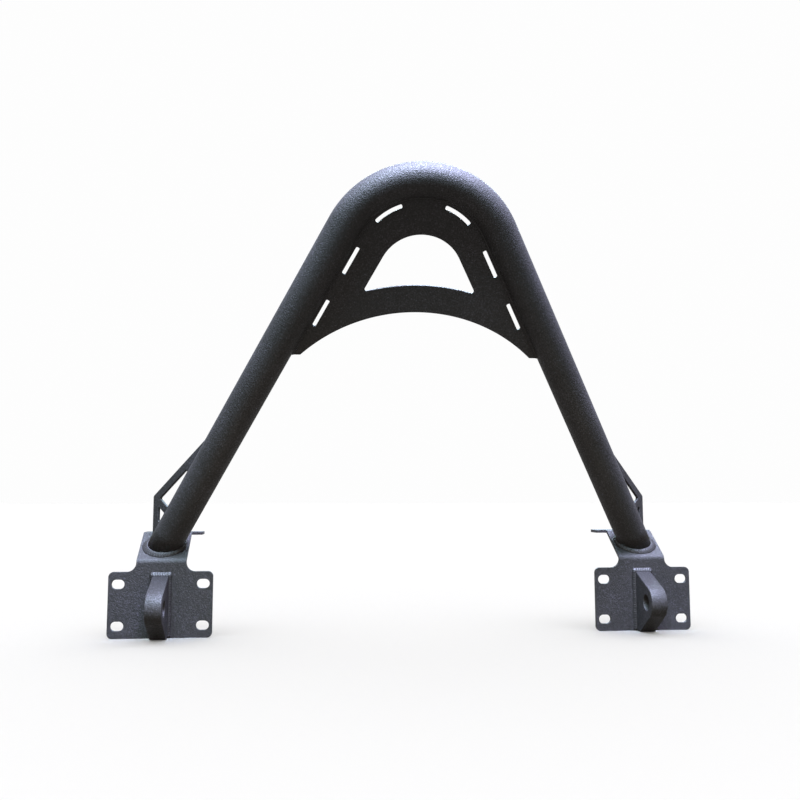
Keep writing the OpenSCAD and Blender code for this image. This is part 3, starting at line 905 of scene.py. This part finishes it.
class SetStage(bpy.types.Operator):
    """Lay the pale floor and set the lights and the camera"""
    bl_idname = "bumper_hoop.set_stage"
    bl_label = "Set the stage"

    def execute(self, context):
        scene = context.scene
        stage = scene.stage_sizes
        colours = scene.coat_colours
        floor = self.lay_floor(colours)
        self.set_world(scene)
        middle = (CAD_BOX[0] + CAD_BOX[1]) / 2
        lamps = [self.hang_light(name, place, middle, width, getattr(stage, name + "_power"),
                                 getattr(colours, tint))
                 for name, (place, width, tint) in LAMPS.items()]
        hoop = Hoop(scene.hoop_sizes)
        x, y, z = BOUNCE_PLACE
        lamps += [self.hang_light("bounce_" + side_name, (side * x, y, z), hoop.foot(side),
                                  BOUNCE_WIDTH, stage.bounce_power, colours.bounce)
                  for side_name, side in SIDES.items()]
        # The lamps light the hoop only, so the floor stays even
        kept_out = bpy.data.collections.new("kept_out_of_lamps")
        kept_out.objects.link(floor)
        for lamp in lamps:
            lamp.light_linking.receiver_collection = kept_out
        kept_out.collection_objects[0].light_linking.link_state = "EXCLUDE"
        camera_data = bpy.data.cameras.new("camera")
        camera_data.lens = stage.lens
        camera = new_piece("camera", camera_data)
        camera.location = stage.place
        camera.rotation_euler = Euler(stage.turn)
        scene.camera = camera
        scene.view_settings.view_transform = "Standard"
        return {"FINISHED"}

    def lay_floor(self, colours):
        """Painted board, matt and plain."""
        low = CAD_BOX[0].z
        data = bpy.data.meshes.new("floor")
        data.from_pydata([(x * FLOOR_REACH, y * FLOOR_REACH, low)
                          for x, y in ((-1, -1), (1, -1), (1, 1), (-1, 1))], [], [(0, 1, 2, 3)])
        material = bpy.data.materials.new("matt_painted_board")
        material.use_nodes = True
        tree = material.node_tree
        tree.nodes.clear()
        place = add_node(tree, "ShaderNodeTexCoord").outputs["Object"]
        # Roller marks, about 15 mm across
        marks = add_node(tree, "ShaderNodeTexNoise", {"Vector": place, "Scale": 1 / (15 * MM)})
        bump = add_node(tree, "ShaderNodeBump", {
            "Height": marks.outputs["Fac"], "Strength": 0.3, "Distance": 0.2 * MM})
        shader = add_node(tree, "ShaderNodeBsdfPrincipled", {
            "Base Color": (*colours.floor, 1.0), "Roughness": 0.9, "Specular IOR Level": 0.1,
            "Normal": bump.outputs["Normal"]})
        add_node(tree, "ShaderNodeOutputMaterial", {"Surface": shader.outputs["BSDF"]})
        data.materials.append(material)
        floor = new_piece("floor", data)
        return floor

    def set_world(self, scene):
        """A white cove that grows brighter and cooler overhead."""
        world = bpy.data.worlds.new("white_cove")
        world.use_nodes = True
        tree = world.node_tree
        tree.nodes.clear()
        way = add_node(tree, "ShaderNodeTexCoord").outputs["Generated"]
        rise = add_node(tree, "ShaderNodeSeparateXYZ", {"Vector": way}).outputs["Z"]
        overhead = scene.stage_sizes.overhead
        horizon = [scene.stage_sizes.horizon / overhead] * 3
        glow = add_node(tree, "ShaderNodeValToRGB", {"Fac": rise}, ramp=[
            (0.0, horizon), (WALL_TOP, horizon), (CEILING, linear("#fafbff"))])
        background = add_node(tree, "ShaderNodeBackground", {
            "Color": glow.outputs["Color"], "Strength": overhead})
        add_node(tree, "ShaderNodeOutputWorld", {"Surface": background.outputs["Background"]})
        scene.world = world

    def hang_light(self, name, place, aim, width, watts, tint):
        """A round soft lamp that points at its aim and isn't seen itself."""
        light = bpy.data.lights.new(name, "AREA")
        light.shape = "DISK"
        light.size = width
        light.energy = watts
        light.color = tint
        lamp = new_piece(name, light)
        lamp.location = place
        lamp.visible_camera = False
        lamp.rotation_euler = (aim - Vector(place)).to_track_quat("-Z", "Y").to_euler()
        return lamp


OPERATORS = [BendTube, CutWeb, FoldBrackets, CutGussets, CutTabs, LayFootBeads, LayTabBeads,
             LayGussetBeads, LayWebBeads, SetStage]


class HoopPanel(bpy.types.Panel):
    """The steps that finish the hoop"""
    bl_label = "Bumper hoop"
    bl_idname = "VIEW3D_PT_bumper_hoop"
    bl_space_type = "VIEW_3D"
    bl_region_type = "UI"
    bl_category = "Bumper Hoop"

    def draw(self, context):
        for operator in OPERATORS:
            self.layout.operator(operator.bl_idname)


GROUPS = {"hoop_sizes": HoopSizes, "tab_sizes": TabSizes, "web_sizes": WebSizes,
          "finish_sizes": FinishSizes, "coat_colours": CoatColours, "stage_sizes": StageSizes}
CLASSES = *GROUPS.values(), *OPERATORS, HoopPanel


def register():
    for cls in CLASSES:
        bpy.utils.register_class(cls)
    for name, group in GROUPS.items():
        setattr(bpy.types.Scene, name, PointerProperty(type=group))


def unregister():
    for name in GROUPS:
        delattr(bpy.types.Scene, name)
    for cls in reversed(CLASSES):
        bpy.utils.unregister_class(cls)


def main():
    register()
    for operator in OPERATORS:
        group, step = operator.bl_idname.split(".")
        getattr(getattr(bpy.ops, group), step)()


if __name__ == "__main__":
    main()
